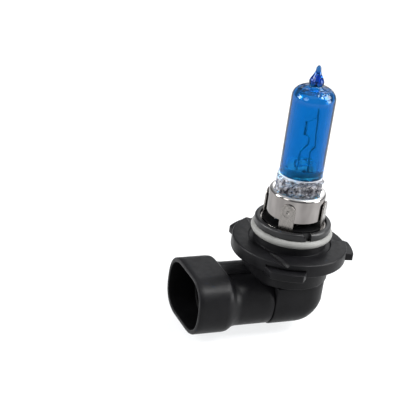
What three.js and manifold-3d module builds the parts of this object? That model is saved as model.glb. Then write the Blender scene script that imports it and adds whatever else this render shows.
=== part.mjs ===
// A plug-in halogen headlight bulb: a blue coated quartz capsule with an axial filament, held by a
// polished focusing cup on a keyed plastic base, with a right-angle two-pin connector.
//
// Millimetres, +Z up along the lamp's axis towards the glass tip. The origin is on the lamp's axis in
// the reference plane, which is the front face of the base's flange. The connector points along -X.
import * as THREE from "three";
import { mergeVertices } from "three/addons/utils/BufferGeometryUtils.js";
import { ConvexGeometry } from "three/addons/geometries/ConvexGeometry.js";
import Module from "manifold-3d";

const wasm = await Module();
wasm.setup();

// ---------------------------------------------------------------- driving dimensions

const FACETS = 40; // facets round a turned piece
const GAP = 0.1; // clearance between pieces that touch or are moulded together

// Quartz capsule
const GLASS = { radius: 5.7, wall: 1.0, tearBase: 44.3, tip: 48.8 };
const PINCH = { bottom: 6.6, top: 15.8, halfWidth: 6.2, halfThickness: 1.8, round: 0.5, blend: 19.6 };
const CHAMBER_FLOOR = 19.2;
const DOME = { round: 3.2, top: 43 };

// Filament and its supports, which stand in the XZ plane
const COIL = { x: -0.95, radius: 0.5, wire: 0.12, turns: 10, bottom: 29.4, top: 33.6 };
const INNER_LEAD = { radius: 0.25, bottom: 15.2 };
const SHORT_LEAD_X = -1.5;
const LONG_LEAD_X = 2.0;
const BRIDGE = { radius: 1.0, z: 21.9, from: -2.6, to: 3.0 };
const FOIL = { x: 1.9, width: 2.4, thickness: 0.15, bottom: 9, top: 15.1 };
const OUTER_LEAD = { x: 1.9, radius: 0.4, top: 8.9, bottom: -12.6 };

// Metal holder
const CUP = { radius: 7.45, wall: 0.45, bottom: 7.9, top: 14.6, round: 0.9, slotGap: 0.25 };
const CLIP = { thickness: 0.4, top: 12.8, bottom: 8.4, tongueWidth: 5 };
const TONGUE = { inner: 7.52, thickness: 0.4, width: 3.8, top: 13.0, weldZ: 10.9, weldRadius: 0.8 };
const TONGUE_ANGLES = [49, 139, 229, 319];
const FOOT_RING = { inner: 7.45, outer: 8.6, bottom: 4.9, thickness: 0.4, bandTop: 5.95, band: 0.3 };

// Moulded base
const COLLAR = { radius: 10.1, inner: 8.7, top: 6.1, bottom: 4.2, chamfer: 0.55 };
const KEY_NOTCH = { angle: 266.5, width: 2, depth: 1 };
const BOSS = { radius: 8.2, top: 6.2 };
const SEAL = { centreRadius: 9.75, radius: 1.05, z: 3.1 };
const NECK = { radius: 9.6, top: 1.95 };
const RELIEF = { radius: 11, depth: 0.3 }; // shallow groove in the flange's face, round the neck
const FLANGE = { radius: 15.25, thickness: 3.5, edge: 0.4 };
const LUG = { inner: 11.4, radius: 17.3, top: -1.9, bottom: -3.9 };
// Where each lug starts and ends, in degrees, at the flange's rim (root) and at its own outer face (tip).
// One end of each is slanted as a lead-in.
const LUGS = [
  { root: [-27.7, 5], tip: [-25.7, -2] },
  { root: [103, 138.5], tip: [105, 132] },
  { root: [220.7, 263.3], tip: [229.5, 258.2] },
];
// The ramp cut in the flange's rim beside each lug, as [radius, degrees] corners: where it starts on
// the front face, and its floor, one millimetre lower.
const RAMP_DEPTH = 1;
const RAMPS = [
  {
    face: [[11.6, -16], [16, -13.5], [16, 22], [12.2, 19]],
    floor: [[13.2, -6], [16, -4], [16, 19], [13.2, 16]],
  },
  {
    face: [[11.6, 130], [16, 114], [16, 84], [12.2, 98]],
    floor: [[13.2, 117], [16, 106], [16, 88], [13.2, 100]],
  },
  {
    face: [[10.6, 208], [16.2, 230.5], [16, 247.5], [11.9, 231.7]],
    floor: [[12.3, 232], [16, 245.5]],
  },
];
const HUB = { radius: 11.3, bottom: -9.3 };
const SPIGOT = { radius: 7.8, bottom: -11.2 };
const BORE = { radius: 5, bottom: -7.5, wide: 6.2 };
const POTTING = { top: 3, bottom: -7.4 };

// Right-angle connector: half sizes of the rounded sections across its own axis, which is along X
const SHROUD = { halfWidth: 11.2, halfHeight: 8.05, round: 6.6, z: -14.75, mouth: -28.4, back: -19.6 };
const SHROUD_WALL = 1.5;
const BARREL = { halfWidth: 9.7, halfHeight: 6.9, round: 6.5, z: -15.15, front: -17.2, back: -6.35 };
const SOCKET = { radius: 5.9, lip: 0.7, lipEnd: -22.4, floor: -11.6, bulkhead: 2 };
const KEY_RIB = { width: 1.1, height: 1.9, setBack: 1.8 };
const LOCK = { width: 5, height: 2, front: -26, back: -22.2 };
const RIB = { width: 4.4, height: 0.45 };

// Elbow
const ELBOW = { front: -6.25, back: 9.4, halfWidth: 9.9, round: 6, top: -9.45, bottom: -22.05 };
const ELBOW_WALL = 1.8;
const HEEL = { top: -14.9, back: 6.8 }; // where the back wall's slope starts, and its foot

// Terminals: flat blades on edge, one each side of the connector's axis
const BLADE = { y: 2.8, thickness: 0.8, height: 2.8, tip: -19.6, point: 1.2 };
const UPRIGHT = { width: 2, top: -9.8 };
const SLEEVE = { wall: 0.35, top: -10, bottom: -12.2 };
const CARRIER = { radius: 5.3, from: -9.5, to: -3.6 };

// ---------------------------------------------------------------- solids from geometries

// A closed geometry as a manifold-3d solid, which can then be joined and cut.
function solidOf(geometry) {
  const bare = geometry.index ? geometry.toNonIndexed() : geometry.clone();
  bare.deleteAttribute("normal");
  bare.deleteAttribute("uv");
  const merged = mergeVertices(bare, 1e-4);
  const corners = merged.index.array;
  const kept = [];
  for (let i = 0; i < corners.length; i += 3) {
    const [a, b, c] = corners.slice(i, i + 3);
    if (a !== b && b !== c && c !== a) kept.push(a, b, c);
  }
  return new wasm.Manifold(
    new wasm.Mesh({
      numProp: 3,
      vertProperties: merged.attributes.position.array,
      triVerts: new Uint32Array(kept),
    }),
  );
}

function geometryOf(solid) {
  const mesh = solid.getMesh();
  return new THREE.BufferGeometry()
    .setAttribute("position", new THREE.BufferAttribute(mesh.vertProperties, 3))
    .setIndex(new THREE.BufferAttribute(mesh.triVerts, 1));
}

// A profile of [radius, z] points, listed with the material on its left, turned round the Z axis.
function turned(profile, facets = FACETS) {
  const points = profile.map(([r, z]) => new THREE.Vector2(r, z));
  return solidOf(new THREE.LatheGeometry(points, facets).rotateX(Math.PI / 2));
}

function rod(radius, bottom, top, facets = FACETS) {
  return turned([[0, bottom], [radius, bottom], [radius, top], [0, top]], facets);
}

// Maps a shape drawn in XY and extruded along Z to one extruded along another axis.
const ALONG = {
  // drawn in (y, z)
  x: new THREE.Matrix4().makeBasis(
    new THREE.Vector3(0, 1, 0), new THREE.Vector3(0, 0, 1), new THREE.Vector3(1, 0, 0)),
  // drawn in (x, z); the extrusion runs along -Y
  y: new THREE.Matrix4().makeBasis(
    new THREE.Vector3(1, 0, 0), new THREE.Vector3(0, 0, 1), new THREE.Vector3(0, -1, 0)),
  z: new THREE.Matrix4(),
};

// A shape extruded along axis from one coordinate to another. Along y the two are minus y.
function prism(shape, axis, from, to, curveSegments = 8) {
  const geometry = new THREE.ExtrudeGeometry(shape, {
    depth: to - from, bevelEnabled: false, curveSegments,
  });
  return solidOf(geometry.translate(0, 0, from).applyMatrix4(ALONG[axis]));
}

function polygon(points) {
  return new THREE.Shape(points.map(([x, y]) => new THREE.Vector2(x, y)));
}

function roundedRectangle(halfWidth, halfHeight, round, centreX = 0, centreY = 0) {
  const x = halfWidth - round;
  const y = halfHeight - round;
  const quarter = Math.PI / 2;
  return new THREE.Shape()
    .absarc(centreX + x, centreY + y, round, 0, quarter)
    .absarc(centreX - x, centreY + y, round, quarter, 2 * quarter)
    .absarc(centreX - x, centreY - y, round, 2 * quarter, 3 * quarter)
    .absarc(centreX + x, centreY - y, round, 3 * quarter, 4 * quarter)
    .closePath();
}

function box(low, high) {
  const size = high.map((h, i) => h - low[i]);
  const centre = high.map((h, i) => (h + low[i]) / 2);
  return solidOf(new THREE.BoxGeometry(...size).translate(...centre));
}

function turnedBy(solid, degrees) {
  return solid.rotate([0, 0, degrees]);
}

// A round wire along a smooth curve through points.
function wire(points, radius, steps, sides = 4) {
  const section = new THREE.Shape().absarc(0, 0, radius, 0, 2 * Math.PI);
  const path = new THREE.CatmullRomCurve3(points.map((p) => new THREE.Vector3(...p)));
  const geometry = new THREE.ExtrudeGeometry(section, {
    steps, extrudePath: path, curveSegments: sides,
  });
  return solidOf(geometry);
}

// A point of the plan, given as a radius and an angle in degrees round the lamp's axis.
function polar(radius, degrees) {
  const turn = THREE.MathUtils.degToRad(degrees);
  return [radius * Math.cos(turn), radius * Math.sin(turn)];
}

function finish(color, roughness, metalness = 1) {
  return new THREE.MeshStandardMaterial({ color, roughness, metalness });
}

// ---------------------------------------------------------------- materials

const blueQuartz = new THREE.MeshPhysicalMaterial({
  color: 0x0a6fcf, roughness: 0.03, metalness: 0, transmission: 0.9, ior: 1.46,
});
const clearQuartz = new THREE.MeshPhysicalMaterial({
  color: 0xe8f0fa, roughness: 0.05, metalness: 0, transmission: 0.95, ior: 1.46,
});
const tungsten = finish(0x4a4a4e, 0.4);
const molybdenum = finish(0x8a8a90, 0.35);
const polishedSteel = finish(0xc9c4be, 0.12);
const springSteel = finish(0xa9a49b, 0.28);
const tinnedBrass = finish(0xcfcab8, 0.3);
const blackPlastic = finish(0x232326, 0.55, 0);
const greySilicone = finish(0x9c9b96, 0.6, 0);
const pottingResin = finish(0x1a1b1d, 0.35, 0);

// ---------------------------------------------------------------- quartz capsule

// Half of the outline of the tube, dome and sealed tip, from the axis where the pinch ends.
function tubeOutline() {
  const path = new THREE.Path();
  path.moveTo(0, PINCH.blend);
  path.lineTo(GLASS.radius, PINCH.blend);
  path.lineTo(GLASS.radius, DOME.top - DOME.round);
  path.absarc(GLASS.radius - DOME.round, DOME.top - DOME.round, DOME.round, 0, Math.PI / 2);
  path.lineTo(1.8, 43.5);
  path.splineThru([
    new THREE.Vector2(2.05, GLASS.tearBase),
    new THREE.Vector2(1.6, 45.4),
    new THREE.Vector2(0.85, 46.8),
    new THREE.Vector2(0.6, 48.2),
    new THREE.Vector2(0, GLASS.tip),
  ]);
  return path.getPoints(2).map((p) => [p.x, p.y]);
}

// Half of the gas chamber, with the hollow that the sealed exhaust tube leaves under the tip.
function chamberOutline() {
  const radius = GLASS.radius - GLASS.wall;
  const round = DOME.round - GLASS.wall;
  const path = new THREE.Path();
  path.moveTo(0, CHAMBER_FLOOR);
  path.lineTo(radius, CHAMBER_FLOOR);
  path.lineTo(radius, DOME.top - DOME.round);
  path.absarc(radius - round, DOME.top - DOME.round, round, 0, Math.PI / 2);
  path.lineTo(0.9, 42.2);
  path.lineTo(0.7, 44);
  path.lineTo(0, 45.6);
  return path.getPoints(2).map((p) => [p.x, p.y]);
}

// The flat pinch, and above it the glass that opens out from the pinch to the round tube.
function pinchedEnd() {
  const outline = roundedRectangle(PINCH.halfWidth, PINCH.halfThickness, PINCH.round);
  const flat = prism(outline, "z", PINCH.bottom, PINCH.top, 3);
  const corners = outline.getPoints(3).map((p) => new THREE.Vector3(p.x, p.y, PINCH.top));
  for (let i = 0; i < 36; i++) {
    corners.push(new THREE.Vector3(...polar(GLASS.radius, i * 10), PINCH.blend));
  }
  return flat.add(solidOf(new ConvexGeometry(corners)));
}

// The two wire channels and foil pockets in the pinch, which let the leads out of the chamber.
function pinchChannels() {
  const clear = 0.15;
  const channels = [[SHORT_LEAD_X, -FOIL.x], [LONG_LEAD_X, FOIL.x]].map(([leadX, foilX]) => {
    const inner = rod(INNER_LEAD.radius + clear, FOIL.top - 1, CHAMBER_FLOOR + 1, 10)
      .translate([leadX, 0, 0]);
    const outer = rod(OUTER_LEAD.radius + clear, PINCH.bottom - 1, FOIL.bottom + 1, 10)
      .translate([foilX, 0, 0]);
    const half = FOIL.width / 2 + clear;
    const pocket = box([foilX - half, -FOIL.thickness, FOIL.bottom - clear],
      [foilX + half, FOIL.thickness, FOIL.top + clear]);
    return inner.add(outer).add(pocket);
  });
  return channels[0].add(channels[1]);
}

// The wedge that the press jaws leave at the chamber's floor, seen along X, up to the tip.
function floorWedge() {
  const wide = GLASS.radius + 1;
  const narrow = 2.4;
  const right = [
    [narrow, CHAMBER_FLOOR - 1],
    [narrow, CHAMBER_FLOOR],
    [wide, CHAMBER_FLOOR + narrow],
    [wide, GLASS.tip],
  ];
  const left = right.map(([y, z]) => [-y, z]).reverse();
  return prism(polygon([...right, ...left]), "x", -wide, wide);
}

function quartzEnvelope() {
  const outside = turned(tubeOutline(), 36).add(pinchedEnd());
  const chamber = turned(chamberOutline(), 36).intersect(floorWedge());
  return outside.subtract(chamber).subtract(pinchChannels());
}

// ---------------------------------------------------------------- filament and leads

// The coil, with a short leg across to each lead.
function filamentCoil() {
  const stepsPerTurn = 8;
  const count = COIL.turns * stepsPerTurn;
  const points = [[0.25, 0, COIL.bottom - 0.15], [COIL.x + 0.2, 0, COIL.bottom - 0.15]];
  for (let i = 2; i <= count; i++) {
    const angle = (2 * Math.PI * i) / stepsPerTurn;
    points.push([
      COIL.x + COIL.radius * Math.cos(angle),
      COIL.radius * Math.sin(angle),
      COIL.bottom + ((COIL.top - COIL.bottom) * i) / count,
    ]);
  }
  points.push([0.6, 0, COIL.top + 0.55], [2.05, 0, COIL.top + 1.25]);
  return wire(points, COIL.wire, count + 14, 3);
}

function shortLead() {
  return wire([
    [SHORT_LEAD_X, 0, INNER_LEAD.bottom], [SHORT_LEAD_X, 0, 19], [SHORT_LEAD_X, 0, 23], [-1.1, 0, 24.2],
    [0.2, 0, 25.7], [0.68, 0, 27], [0.62, 0, 29.6],
  ], INNER_LEAD.radius, 26);
}

function longLead() {
  return wire([
    [LONG_LEAD_X, 0, INNER_LEAD.bottom], [LONG_LEAD_X, 0, 19], [LONG_LEAD_X, 0, 23.3], [2.3, 0, 24.5],
    [3, 0, 26], [3.2, 0, 27.3], [2.9, 0, 31], [2.42, 0, 35], [2.25, 0, 37.1],
  ], INNER_LEAD.radius, 32);
}

// The bar of quartz that both leads pass through, which keeps them apart.
function quartzBridge() {
  const bar = rod(BRIDGE.radius, BRIDGE.from, BRIDGE.to, 16).rotate([0, 90, 0]).translate([0, 0, BRIDGE.z]);
  const clear = 0.08;
  const holes = [SHORT_LEAD_X, LONG_LEAD_X].map((x) =>
    rod(INNER_LEAD.radius + clear, BRIDGE.z - 2, BRIDGE.z + 2, 10).translate([x, 0, 0]));
  return bar.subtract(holes[0]).subtract(holes[1]);
}

function foil(side) {
  const half = FOIL.width / 2;
  const x = side * FOIL.x;
  return box([x - half, -FOIL.thickness / 2, FOIL.bottom], [x + half, FOIL.thickness / 2, FOIL.top - GAP]);
}

// Where an outer lead lies against its terminal's upright.
const leadOffset = BLADE.y - BLADE.thickness / 2 - 0.05 - OUTER_LEAD.radius;

function outerLead(side) {
  const x = side * OUTER_LEAD.x;
  const y = side * leadOffset;
  return wire([
    [x, 0, OUTER_LEAD.top], [x, 0, 2], [x, 0, -6], [x, 0, -7.5], [x, y * 0.5, -8.6], [x, y, -9.6],
    [x, y, -10.6], [x, y, OUTER_LEAD.bottom],
  ], OUTER_LEAD.radius, 30);
}

// ---------------------------------------------------------------- metal holder

// A cup with a flat top, slotted for the pinch that stands in it.
function focusingCup() {
  const inner = CUP.radius - CUP.wall;
  const innerRound = CUP.round - CUP.wall;
  const outerArc = new THREE.Path()
    .absarc(CUP.radius - CUP.round, CUP.top - CUP.round, CUP.round, 0, Math.PI / 2).getPoints(3);
  const innerArc = new THREE.Path()
    .absarc(inner - innerRound, CUP.top - CUP.wall - innerRound, innerRound, Math.PI / 2, 0, true)
    .getPoints(2);
  const cup = turned([
    [inner, CUP.bottom],
    [CUP.radius, CUP.bottom],
    ...outerArc.map((p) => [p.x, p.y]),
    [0, CUP.top],
    [0, CUP.top - CUP.wall],
    ...innerArc.map((p) => [p.x, p.y]),
    [inner, CUP.bottom],
  ]);
  const slot = roundedRectangle(
    PINCH.halfWidth + CUP.slotGap, PINCH.halfThickness + CUP.slotGap, PINCH.round + CUP.slotGap);
  return cup.subtract(prism(slot, "z", CUP.top - 1, CUP.top + 1));
}

// The stamped spring clip inside the cup: a plate slotted for the pinch and two gripping tongues.
function pinchClip() {
  const plate = rod(CUP.radius - CUP.wall - GAP, CLIP.top - CLIP.thickness, CLIP.top, 32);
  const slotY = PINCH.halfThickness + 0.15;
  const slot = box([-PINCH.halfWidth - GAP, -slotY, 0], [PINCH.halfWidth + GAP, slotY, CLIP.top + 1]);
  const half = CLIP.tongueWidth / 2;
  const tongues = [-1, 1].map((side) => {
    const near = side * slotY;
    const far = side * (slotY + CLIP.thickness);
    return box([-half, Math.min(near, far), CLIP.bottom], [half, Math.max(near, far), CLIP.top - GAP]);
  });
  return plate.subtract(slot).add(tongues[0]).add(tongues[1]);
}

// One upright tongue, round at its top, with the dimple of the spot weld that holds the cup.
function tongue(angle) {
  const half = TONGUE.width / 2;
  const shape = new THREE.Shape();
  shape.moveTo(-half, FOOT_RING.bottom);
  shape.lineTo(half, FOOT_RING.bottom);
  shape.absarc(0, TONGUE.top - half, half, 0, Math.PI);
  shape.closePath();
  const plate = prism(shape, "x", TONGUE.inner, TONGUE.inner + TONGUE.thickness, 6);
  const dimple = rod(TONGUE.weldRadius, TONGUE.inner + TONGUE.thickness - 0.12, TONGUE.inner + 1, 16)
    .rotate([0, 90, 0]).translate([0, 0, TONGUE.weldZ]);
  return turnedBy(plate.subtract(dimple), angle);
}

// The ring that carries the four tongues. Its foot is moulded into the base.
function tongueRing() {
  const plateTop = FOOT_RING.bottom + FOOT_RING.thickness;
  const foot = turned([
    [FOOT_RING.inner, FOOT_RING.bottom],
    [FOOT_RING.outer, FOOT_RING.bottom],
    [FOOT_RING.outer, FOOT_RING.bandTop],
    [FOOT_RING.outer - FOOT_RING.band, FOOT_RING.bandTop],
    [FOOT_RING.outer - FOOT_RING.band, plateTop],
    [FOOT_RING.inner, plateTop],
    [FOOT_RING.inner, FOOT_RING.bottom],
  ]);
  return TONGUE_ANGLES.reduce((ring, angle) => ring.add(tongue(angle)), foot);
}

// ---------------------------------------------------------------- moulded base

// A lug whose outer face is round and whose ends run from its roots in the flange to its tips.
function lug({ root, tip }) {
  const outline = [polar(LUG.inner, root[0]), polar(FLANGE.radius, root[0])];
  const steps = 8;
  for (let i = 0; i <= steps; i++) {
    outline.push(polar(LUG.radius, tip[0] + ((tip[1] - tip[0]) * i) / steps));
  }
  outline.push(polar(FLANGE.radius, root[1]), polar(LUG.inner, root[1]));
  return prism(polygon(outline), "z", LUG.bottom, LUG.top);
}

// The space over a ramp, from a little above the flange's front face down to the ramp's floor.
function rampSpace({ face, floor }) {
  const corner = (z) => ([radius, degrees]) => new THREE.Vector3(...polar(radius, degrees), z);
  return solidOf(new ConvexGeometry([
    ...face.map(corner(0)), ...face.map(corner(0.2)), ...floor.map(corner(-RAMP_DEPTH)),
  ]));
}

// The upper moulding: collar, seal groove, flange with its three lugs, hub and spigot.
function baseFlange() {
  const edge = 0.25;
  const pocket = { floor: FOOT_RING.bottom - GAP, roof: FOOT_RING.bottom + FOOT_RING.thickness + GAP };
  const body = turned([
    [BORE.wide, SPIGOT.bottom],
    [SPIGOT.radius, SPIGOT.bottom],
    [SPIGOT.radius, HUB.bottom],
    [HUB.radius - edge, HUB.bottom],
    [HUB.radius, HUB.bottom + edge],
    [HUB.radius, -FLANGE.thickness],
    [FLANGE.radius - edge, -FLANGE.thickness],
    [FLANGE.radius, -FLANGE.thickness + edge],
    [FLANGE.radius, -FLANGE.edge],
    [FLANGE.radius - FLANGE.edge, 0],
    [RELIEF.radius, 0],
    [RELIEF.radius - RELIEF.depth, -RELIEF.depth],
    [NECK.radius, -RELIEF.depth],
    [NECK.radius, NECK.top],
    [SEAL.centreRadius - SEAL.radius - 0.05, NECK.top],
    [SEAL.centreRadius - SEAL.radius - 0.05, COLLAR.bottom],
    [COLLAR.radius, COLLAR.bottom],
    [COLLAR.radius, COLLAR.top - COLLAR.chamfer],
    [COLLAR.radius - COLLAR.chamfer, COLLAR.top],
    [COLLAR.inner, COLLAR.top],
    [COLLAR.inner, pocket.floor],
    [FOOT_RING.inner - GAP, pocket.floor],
    [FOOT_RING.inner - GAP, pocket.roof],
    [BOSS.radius, pocket.roof],
    [BOSS.radius, BOSS.top],
    [BORE.radius, BOSS.top],
    [BORE.radius, BORE.bottom],
    [BORE.wide, BORE.bottom],
    [BORE.wide, SPIGOT.bottom],
  ]);
  const slotHalf = TONGUE.width / 2 + GAP;
  const slots = TONGUE_ANGLES.map((angle) => turnedBy(
    box([TONGUE.inner - GAP, -slotHalf, pocket.floor],
      [BOSS.radius + GAP, slotHalf, BOSS.top + 1]), angle));
  const notchHalf = KEY_NOTCH.width / 2;
  const keyNotch = turnedBy(
    box([COLLAR.radius - KEY_NOTCH.depth, -notchHalf, COLLAR.bottom - 0.1],
      [COLLAR.radius + 1, notchHalf, COLLAR.top + 1]), KEY_NOTCH.angle);
  const withRamps = RAMPS.reduce((solid, ramp) => solid.subtract(rampSpace(ramp)), body);
  const withLugs = LUGS.reduce((solid, each) => solid.add(lug(each)), withRamps);
  const withSlots = slots.reduce((solid, slot) => solid.subtract(slot), withLugs);
  return withSlots.subtract(keyNotch);
}

function sealRing() {
  const ring = new THREE.TorusGeometry(SEAL.centreRadius, SEAL.radius, 12, FACETS);
  return solidOf(ring.translate(0, 0, SEAL.z));
}

// Resin that fills the bore round the outer leads.
function pottingPlug() {
  const plug = rod(BORE.radius - GAP, POTTING.bottom, POTTING.top, 32);
  const hole = rod(OUTER_LEAD.radius + GAP + 0.05, POTTING.bottom - 1, POTTING.top + 1, 12);
  return [-1, 1].reduce((solid, side) => solid.subtract(hole.translate([side * OUTER_LEAD.x, 0, 0])), plug);
}

// ---------------------------------------------------------------- elbow and connector

// The elbow's rounded block, drawn smaller by inset: the hull of plan outlines, the lowest of which
// draw in at the back for the sloping heel and at the sides for the rounded lower edges.
function elbowBlock(inset, front, top) {
  const edge = ELBOW.round - inset * 0.6;
  const side = ELBOW.halfWidth - inset;
  const bottom = ELBOW.bottom + inset;
  const points = [];
  const addOutline = (z, back) => {
    const drop = Math.max(bottom + edge - z, 0);
    const half = side - edge + Math.sqrt(Math.max(edge * edge - drop * drop, 0));
    const round = Math.min(edge, half - 0.2);
    for (const sign of [-1, 1]) {
      points.push(new THREE.Vector3(front, sign * half, z));
      for (let i = 0; i <= 6; i++) {
        const angle = (i * Math.PI) / 12;
        const x = back - round + round * Math.cos(angle);
        points.push(new THREE.Vector3(x, sign * (half - round + round * Math.sin(angle)), z));
      }
    }
  };
  addOutline(top, ELBOW.back - inset);
  const levels = 8;
  for (let i = 0; i <= levels; i++) {
    const t = i / levels;
    addOutline(HEEL.top + (bottom - HEEL.top) * t, ELBOW.back + (HEEL.back - ELBOW.back) * t - inset);
  }
  return solidOf(new ConvexGeometry(points));
}

function elbowHousing() {
  const outside = elbowBlock(0, ELBOW.front, ELBOW.top);
  const inside = elbowBlock(ELBOW_WALL, ELBOW.front - 1, ELBOW.top - ELBOW_WALL);
  const opening = rod(SPIGOT.radius + GAP, ELBOW.top - ELBOW_WALL - 1, ELBOW.top + 1);
  return outside.subtract(inside).subtract(opening);
}

// A rounded section across the connector's axis.
function section({ halfWidth, halfHeight, round, z }, inset = 0) {
  return roundedRectangle(halfWidth - inset, halfHeight - inset, round - inset, 0, z);
}

function sectionPoints(size, x) {
  return section(size).getPoints(8).map((p) => new THREE.Vector3(x, p.x, p.y));
}

// The ramped catch under the shroud that the plug's latch snaps over.
function lockCatch() {
  const base = SHROUD.z - SHROUD.halfHeight;
  return prism(polygon([
    [LOCK.front, base + 0.5], [LOCK.front, base], [LOCK.front + 1.8, base - LOCK.height],
    [LOCK.back, base - LOCK.height], [LOCK.back, base + 0.5],
  ].reverse()), "y", -LOCK.width / 2, LOCK.width / 2);
}

function connectorHousing() {
  const shroud = prism(section(SHROUD), "x", SHROUD.mouth, SHROUD.back);
  const taper = solidOf(new ConvexGeometry([
    ...sectionPoints(SHROUD, SHROUD.back), ...sectionPoints(BARREL, BARREL.front),
  ]));
  const barrel = prism(section(BARREL), "x", BARREL.front, BARREL.back);
  const ribTop = BARREL.z + BARREL.halfHeight + RIB.height;
  const rib = box([BARREL.front - 1, -RIB.width / 2, BARREL.z], [BARREL.back - 3, RIB.width / 2, ribTop]);

  const along = (radius, from, to) =>
    rod(radius, from, to, 32).rotate([0, 90, 0]).translate([0, 0, SHROUD.z]);
  const mouth = prism(section(SHROUD, SHROUD_WALL), "x", SHROUD.mouth - 1, SHROUD.back);
  const lip = along(SOCKET.radius + SOCKET.lip, SOCKET.lipEnd, SHROUD.back + 0.5);
  const socket = along(SOCKET.radius, SHROUD.mouth - 1, SOCKET.floor);
  const rearBore = along(SOCKET.radius, SOCKET.floor + SOCKET.bulkhead, BARREL.back + 1);
  const keyTop = SHROUD.z + SOCKET.radius + 0.3;
  const key = box([SOCKET.lipEnd + KEY_RIB.setBack, -KEY_RIB.width / 2, keyTop - 0.3 - KEY_RIB.height],
    [SOCKET.floor + 0.5, KEY_RIB.width / 2, keyTop]);

  const outside = shroud.add(taper).add(barrel).add(rib).add(lockCatch());
  const hollow = outside.subtract(mouth).add(lip).subtract(socket).add(key).subtract(rearBore);
  return [-1, 1].reduce((solid, side) => solid.subtract(bladeSlot(side)), hollow.subtract(roomForBase()));
}

// The space that the base's hub and spigot take up, with a little clearance.
function roomForBase() {
  const clearance = 0.15;
  return rod(HUB.radius + clearance, HUB.bottom - clearance, 0, 96)
    .add(rod(SPIGOT.radius + clearance, SPIGOT.bottom - clearance, 0));
}

function bladeSlot(side) {
  const halfY = BLADE.thickness / 2 + 0.15;
  const halfZ = BLADE.height / 2 + 0.15;
  return box([SOCKET.floor - 1, side * BLADE.y - halfY, SHROUD.z - halfZ],
    [BARREL.back + 6, side * BLADE.y + halfY, SHROUD.z + halfZ]);
}

// ---------------------------------------------------------------- terminals

// A flat L-shaped terminal: a pointed blade in the socket and an upright under its lead.
function terminal(side) {
  const half = BLADE.height / 2;
  const low = SHROUD.z - half;
  const high = SHROUD.z + half;
  const back = side * OUTER_LEAD.x + UPRIGHT.width / 2;
  const outline = polygon([
    [BLADE.tip, low + half * 0.7], [BLADE.tip + BLADE.point, low], [back, low], [back, UPRIGHT.top],
    [back - UPRIGHT.width, UPRIGHT.top], [back - UPRIGHT.width, high], [BLADE.tip + BLADE.point, high],
    [BLADE.tip, high - half * 0.7],
  ]);
  const y = side * BLADE.y;
  return prism(outline, "y", -y - BLADE.thickness / 2, -y + BLADE.thickness / 2);
}

// The ferrule squeezed round an outer lead and its terminal's upright.
function crimpSleeve(side) {
  const x = side * OUTER_LEAD.x;
  const halfX = UPRIGHT.width / 2 + 0.15;
  const far = BLADE.y + BLADE.thickness / 2 + 0.12;
  const near = leadOffset - OUTER_LEAD.radius - 0.12;
  const sleeve = (wall, bottom, top) => {
    const ys = [side * (far + wall), side * (near - wall)].sort((a, b) => a - b);
    return box([x - halfX - wall, ys[0], bottom], [x + halfX + wall, ys[1], top]);
  };
  const outside = sleeve(SLEEVE.wall, SLEEVE.bottom, SLEEVE.top);
  return outside.subtract(sleeve(0, SLEEVE.bottom - 1, SLEEVE.top + 1));
}

// The insulator that holds both terminals, across the joint between the connector and the elbow.
function terminalCarrier() {
  const body = rod(CARRIER.radius, CARRIER.from, CARRIER.to, 32)
    .rotate([0, 90, 0])
    .translate([0, 0, SHROUD.z]);
  return [-1, 1].reduce((solid, side) => solid.subtract(bladeSlot(side)), body.subtract(roomForBase()));
}

// ---------------------------------------------------------------- assembly

const bulb = new THREE.Group();

function piece(name, solid, material) {
  const mesh = new THREE.Mesh(geometryOf(solid), material);
  mesh.name = name;
  bulb.add(mesh);
}

piece("quartz_envelope", quartzEnvelope(), blueQuartz);
piece("filament_coil", filamentCoil(), tungsten);
piece("short_lead", shortLead(), molybdenum);
piece("long_lead", longLead(), molybdenum);
piece("quartz_bridge", quartzBridge(), clearQuartz);
piece("focusing_cup", focusingCup(), polishedSteel);
piece("pinch_clip", pinchClip(), springSteel);
piece("tongue_ring", tongueRing(), springSteel);
piece("base_flange", baseFlange(), blackPlastic);
piece("seal_ring", sealRing(), greySilicone);
piece("potting_plug", pottingPlug(), pottingResin);
piece("elbow_housing", elbowHousing(), blackPlastic);
piece("connector_housing", connectorHousing(), blackPlastic);
piece("terminal_carrier", terminalCarrier(), blackPlastic);
for (const [label, side] of [["left", -1], ["right", 1]]) {
  piece(`foil_${label}`, foil(side), molybdenum);
  piece(`outer_lead_${label}`, outerLead(side), molybdenum);
  piece(`terminal_${label}`, terminal(side), tinnedBrass);
  piece(`crimp_sleeve_${label}`, crimpSleeve(side), tinnedBrass);
}

export default bulb;
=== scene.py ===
"""Looks for a plug-in halogen headlight bulb, built round its frame.

Shapes are drawn in millimetres in the lamp's frame and stored in metres: the origin is on the lamp's
axis in the flange's front face, +Z points to the glass tip and the connector opens towards -X.
"""
import math

import bmesh
import bpy
from mathutils import Matrix, Vector, noise


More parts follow.
